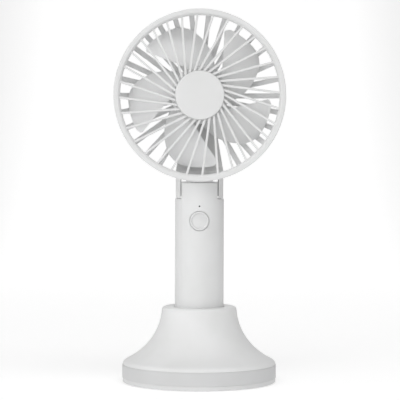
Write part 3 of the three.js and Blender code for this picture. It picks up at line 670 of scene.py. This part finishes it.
def grille_cap():
    """A nearly flat disc with a small rounded edge and a collar behind it."""
    front, rear = CAP_LOW[1], CAP_BED - 0.1
    collar_outer, collar_inner, collar_rear = 10.8, 9.3, CAP_HIGH[1]
    flat_r, crown, edge = 9, 0.12, 0.5
    profile = [(0, front)] + bend((flat_r, front), (13, front), (CAP_R - edge, front + crown), 6)
    profile += bend((CAP_R - 0.4, front + 0.14), (CAP_R, front + 0.16), (CAP_R, front + 0.6), 5)
    profile += [(CAP_R, rear), (collar_outer, rear), (collar_outer, collar_rear)]
    profile += [(collar_inner, collar_rear), (collar_inner, rear), (0, rear)]
    done(turned("grille_cap_skin", profile, "y", FAN), CAP_WHITE, "head", "white_plastic", "grille_cap")


def motor_screw_spots():
    """Where the three motor screws are, seen from the front."""
    spots = []
    for i in range(3):
        low, high = span(f"motor_screw_{i + 1}")
        spots.append(((low[0] + high[0]) / 2, 0, (low[2] + high[2]) / 2))
    return spots


def rear_grille():
    """The rear ring, the motor hub with its screw posts, and the ribs that the arm leaves room for."""
    wall, front, corner = 1.6, 0.2, 1.4
    floor_front, hub_inner = HUB_REAR - wall, HUB_R - wall
    lip, lip_front, inside = RING_WALL - 0.1, RING_SEAM - 1.9, RING_INNER + 1
    edge = 1.5
    profile = [
        (HEAD_R, RING_SEAM + 0.1), (lip, RING_SEAM + 0.1), (lip, lip_front), (inside, lip_front),
        (inside, RING_REAR - 0.4), (inside + 0.4, RING_REAR),
    ]
    profile += arc((HEAD_R - edge, RING_REAR - edge), edge, 90, 0, 10)
    ring = turned("ring", profile, "y", FAN, 240)
    hub_profile = [(0, floor_front), (hub_inner, floor_front), (hub_inner, front), (HUB_R, front)]
    hub_profile += arc((HUB_R - corner, HUB_REAR - corner), corner, 0, 90, 8) + [(0, HUB_REAR)]
    hub = turned("hub", hub_profile, "y", FAN)
    posts = [rod("post", 2, (4.9, HUB_REAR - 1), "y", spot, 32) for spot in motor_screw_spots()]
    # a rib's rear edge runs from the ring to the hub and its front edge back again, as (radius, depth)
    rib_rear = bend((HEAD_R - 1.2, -2.3), (41.5, 8.5), (15.2, 10), 20)
    rib_front = bend((15.2, 8), (40, 6.2), (HEAD_R - 3.1, -4), 20)
    outline = [(y, HEAD_Z + r) for r, y in rib_rear + rib_front]
    rib_half, rib_step, arm_clear = 1.55, 12, 19
    rib = prism("rib", outline, (-rib_half, rib_half), "x")
    round_edges(rib, 0.4, 3)
    angles = [rib_step * i - 90 for i in range(30) if abs(rib_step * i - 270) > arm_clear]
    ribs = ring_of("ribs", rib, angles)
    grille = weld("rear_grille_skin", [ring, hub, ribs, *posts])
    # painted light: the ribs and hub get the lighter-painted copy of the white plastic
    done(grille, REAR_WHITE_PAINTED_LIGHT, "head", "white_plastic", "rear_grille")


def neck_yoke():
    """The ears, the block behind the ring and the arm that carries the motor hub."""
    gap_top, bridge_half, bridge_bottom = TONGUE_TOP + 2.1, 8, TONGUE_TOP + 0.45
    arm_top, arm_half, wide_top = HEAD_Z - 14, 6.2, 127
    flank_z, flank_half = HEAD_Z - 22, 10.3
    low, high = 100, 180  # below the ears and above the arm
    half = EAR_OUTER
    yoke = prism("yoke_front", [
        (EAR_INNER, low), (half, low), (half, wide_top), (flank_half, flank_z), (arm_half, arm_top),
        (-arm_half, arm_top), (-flank_half, flank_z), (-half, wide_top), (-half, low),
        (-EAR_INNER, low), (-EAR_INNER, gap_top), (-bridge_half, gap_top), (-bridge_half, bridge_bottom),
        (bridge_half, bridge_bottom), (bridge_half, gap_top), (EAR_INNER, gap_top),
    ], (-30, 30), "y")
    ring_rear = RING_REAR + 0.1
    ear_front, arm_front, arm_rear = -9.6, 1.5, 10.6
    # seen from the side: round the ears, up the back of the arm, down its front and round the block
    side = [(ear_front, PIVOT_Z - EAR_R)] + arc((0, PIVOT_Z), EAR_R, -90, 0, 16) + [(EAR_R, 131)]
    side += bend((EAR_R, 132), (arm_rear, 146), (arm_rear, arm_top), 16)
    side += [(arm_front, arm_top), (arm_front, 129), (ring_rear, 126.5), (ring_rear, 124), (ear_front, 124)]
    carve(yoke, [prism("yoke_side", side, (-PAST, PAST), "x")], "INTERSECT")
    keep = rod("round", EAR_OUTER, (low, wide_top + 4), "z", segments=144)
    carve(keep, [block("above", (-PAST, PAST), (-PAST, PAST), (wide_top, high))], "UNION")
    carve(yoke, [keep], "INTERSECT")
    recess_r, recess_end, pin_end = 5.3, 11.9, 13.5
    carve(yoke, [
        rod("ring_room", HEAD_R + 0.1, (-30, ring_rear), "y", FAN, 240),
        rod("hub_room", HUB_R + 0.1, (-30, 30), "y", FAN, 144),
        block("channel", (-2.4, 2.4), (2.9, 5), (low, 170)),
        rod("pins", PIN_HOLE_R, (-pin_end, pin_end), "x", PIVOT),
        rod("recess", recess_r, (-recess_end, -TONGUE_HALF), "x", PIVOT),
        rod("recess", recess_r, (TONGUE_HALF, recess_end), "x", PIVOT),
    ])
    round_edges(yoke, 0.35, 3)
    yoke.name = "neck_yoke_skin"
    done(yoke, WHITE, "head", "white_plastic", "neck_yoke")


# ---------------------------------------------------------------- rotor
def blade():
    """One blade: rows run outwards, columns run from the swept rear edge to the front edge."""
    rows, columns = 28, 20
    root, tip, thick = 16.2, 42.85, 1.3
    rear_y, root_depth, taper, belly = -1.6, 12.2, 3.4, 0.1

    def swept_edge(r):
        """Degrees round the axis of the rear edge: a straight sweep that hooks towards the tip."""
        hook = max(0, (r - 37.7) / 5.15) ** 3
        return 5.2 + 1.754 * (r - 27.8) + 6 * hook

    def front_edge(r):
        """Degrees round the axis of the front edge, which bows outwards and rounds off at the tip."""
        round_off = max(0, (r - 40.1) / 2.75) ** 2
        return 88.8 - 794 / r - 5.8 * round_off

    verts, faces = [], []
    for layer_thick in (thick, 0):
        for i in range(rows + 1):
            r = root + (tip - root) * (1 - (1 - i / rows) ** 1.7)  # rows crowd together at the tip
            depth = root_depth - taper * (r - root) / (tip - root)
            for j in range(columns + 1):
                s = j / columns
                angle = math.radians(swept_edge(r) + (front_edge(r) - swept_edge(r)) * s)
                y = rear_y - depth * (s + belly * math.sin(math.pi * s)) - layer_thick
                verts.append((r * math.cos(angle), y, HEAD_Z + r * math.sin(angle)))
    wide = columns + 1
    layer = wide * (rows + 1)
    for i in range(rows):
        for j in range(columns):
            a = i * wide + j
            faces.append((a, a + wide, a + wide + 1, a + 1))
            faces.append((layer + a, layer + a + 1, layer + a + wide + 1, layer + a + wide))
        for a in (i * wide, i * wide + columns):
            faces.append((a, a + wide, layer + a + wide, layer + a))
    for j in range(columns):
        for a in (j, rows * wide + j):
            faces.append((a, a + 1, layer + a + 1, layer + a))
    shape = put("blade", verts, faces)
    return round_edges(shape, 0.4, 3, angle=50)


def impeller():
    """The hub and its five blades, moulded in one piece."""
    front, rear, radius, inner = -14.6, span("impeller")[1][1], 16.9, 15.5
    edge, wall, blades_count = 1, 2, 5
    profile = [(0, front)] + arc((radius - edge, front + edge), edge, -90, 0, 8)
    profile += [(radius, rear), (inner, rear), (inner, front + wall), (0, front + wall)]
    hub = turned("hub", profile, "y", FAN)
    blades = ring_of("blades", blade(), [360 / blades_count * i for i in range(blades_count)])
    done(weld("impeller_skin", [hub, blades]), BLADE, "rotor", "blade_plastic", "impeller")


# ---------------------------------------------------------------- pieces that keep their CAD shape
def paint_cad():
    """Gives each piece that keeps its CAD shape the material of the real thing."""
    finishes = {
        STEEL: [
            "hinge_pin_left", "hinge_pin_right", "cell_tab_lower", "cell_tab_upper", "rotor_cup",
            "motor_shaft", "motor_screw_1", "motor_screw_2", "motor_screw_3",
        ],
        DARK_STEEL: [
            "stand_weight", "hinge_washer_left", "hinge_washer_right", "motor_base", "stator_core",
        ],
        BRASS: ["bearing_sleeve"],
        COPPER: ["coil_1", "coil_2", "coil_3", "coil_4"],
        BOARD: ["main_board", "motor_board"],
        BLACK: [
            "cell_spacer_lower", "cell_spacer_upper", "tact_switch", "usb_tongue", "handle_lead_black",
            "head_lead_black", "ring_magnet",
        ],
        CELL: ["battery_cell"],
        RED_WIRE: ["handle_lead_red", "head_lead_red"],
        SMOKED: ["indicator_led", "light_pipe"],
    }
    for material, names in finishes.items():
        for name in names:
            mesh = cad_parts[name].data
            mesh.materials.clear()
            mesh.materials.append(material)


# ---------------------------------------------------------------- studio
def studio_paper():
    """White paper that glows behind and under the object and fades towards the viewer and the sides."""
    material = bpy.data.materials.new("studio_paper")
    material.use_nodes = True
    tree = material.node_tree
    shader = tree.nodes["Principled BSDF"]
    shader.inputs["Base Color"].default_value = (0.8, 0.8, 0.8, 1)
    shader.inputs["Roughness"].default_value = 0.9
    shader.inputs["Emission Color"].default_value = (1, 1, 1, 1)
    place = tree.nodes.new("ShaderNodeTexCoord")
    split = tree.nodes.new("ShaderNodeSeparateXYZ")
    tree.links.new(place.outputs["Object"], split.inputs["Vector"])

    def combine(operation, *sources):
        """Adds a node that does a sum with one or two values."""
        node = tree.nodes.new("ShaderNodeMath")
        node.operation = operation
        for socket, source in zip(node.inputs, sources):
            tree.links.new(source, socket)
        return node.outputs["Value"]

    sideways = combine("ABSOLUTE", split.outputs["X"])
    towards = map_range(tree, split.outputs["Y"], -0.45, -0.12, 0.0, 0.36)
    beyond = map_range(tree, split.outputs["Y"], 0.1, 0.8, 0.0, 0.118)
    across = map_range(tree, sideways, 0.2, 0.45, 1.0, 0.05)
    glow = combine("MULTIPLY", combine("ADD", towards, beyond), across)
    tree.links.new(glow, shader.inputs["Emission Strength"])
    return material


def floor():
    """A pale sweep that curves up behind the object."""
    sunk, reach, flat_end, curve_r, top = -0.05, 3000, 700, 900, 3500
    path = [(-reach, sunk), (flat_end, sunk)]
    path += arc((flat_end, curve_r), curve_r, -90, 0, 16)[1:] + [(flat_end + curve_r, top)]
    verts = [(x, y, z) for y, z in path for x in (-reach, reach)]
    faces = [(2 * i, 2 * i + 1, 2 * i + 3, 2 * i + 2) for i in range(len(path) - 1)]
    sweep = put("studio_sweep", verts, faces)
    sweep.data.materials.append(studio_paper())


def hang_light(name, kind, place, target, size, power):
    """Hangs a square soft box (AREA) or a narrow soft spot (SPOT), in metres and watts."""
    light = bpy.data.lights.new(name, kind)
    light.energy = power
    if kind == "AREA":
        light.size = size
    else:
        light.shadow_soft_size = size
        light.spot_size = math.radians(16)
        light.spot_blend = 0.5
    obj = bpy.data.objects.new(name, light)
    obj.location = place
    aim = Vector(target) - Vector(place)
    obj.rotation_euler = aim.to_track_quat("-Z", "Y").to_euler()
    bpy.context.scene.collection.objects.link(obj)


def lights():
    """Even pale surroundings, a narrow key from the left and four weak soft boxes above and in front."""
    world = bpy.data.worlds.new("studio")
    world.use_nodes = True
    background = world.node_tree.nodes["Background"]
    background.inputs["Color"].default_value = (1, 1, 1, 1)
    background.inputs["Strength"].default_value = 0.5
    bpy.context.scene.world = world
    bpy.context.scene.view_settings.view_transform = "Standard"
    upper, middle = (0, 0, 0.138), (0, 0, 0.12)
    hang_light("key", "SPOT", (-0.58, -0.2, 0.21), upper, 0.16, 8.4)
    hang_light("top", "AREA", (0.3, -0.5, 1.1), middle, 0.6, 2.6)
    hang_light("front_top", "AREA", (-0.3, -0.9, 1.2), middle, 0.8, 3.3)
    hang_light("front_low", "AREA", (-0.15, -1.2, 0.12), middle, 0.5, 1.75)
    hang_light("front_left", "AREA", (-0.7, -1.0, 0.2), middle, 0.5, 1.5)


def camera():
    """A good way off, a little above the handle, looking slightly down and turned a hair from level."""
    distance, height, aim_x, aim_z, roll = 1.15, 0.1515, 0.0003, 0.1094, 0.17
    sensor, seen_width = 36, 0.240  # the width of what the camera sees at the object
    lens = bpy.data.cameras.new("camera")
    lens.sensor_width = sensor
    lens.lens = sensor * distance / seen_width
    lens.clip_end = 20
    obj = bpy.data.objects.new("camera", lens)
    obj.location = (0.0, -distance, height)
    aim = Vector((aim_x, 0, aim_z)) - obj.location
    obj.rotation_euler = aim.to_track_quat("-Z", "Y").to_euler()
    obj.rotation_euler.rotate_axis("Z", math.radians(roll))
    bpy.context.scene.collection.objects.link(obj)
    bpy.context.scene.camera = obj


camera()
floor()
lights()

stand_shell()
stand_band()
bottom_cover()
foot_ring()
foot_screws()
handle_shells()
handle_end_cap()
power_button()
usb_port()
front_grille()
grille_cap()
rear_grille()
neck_yoke()
impeller()
paint_cad()
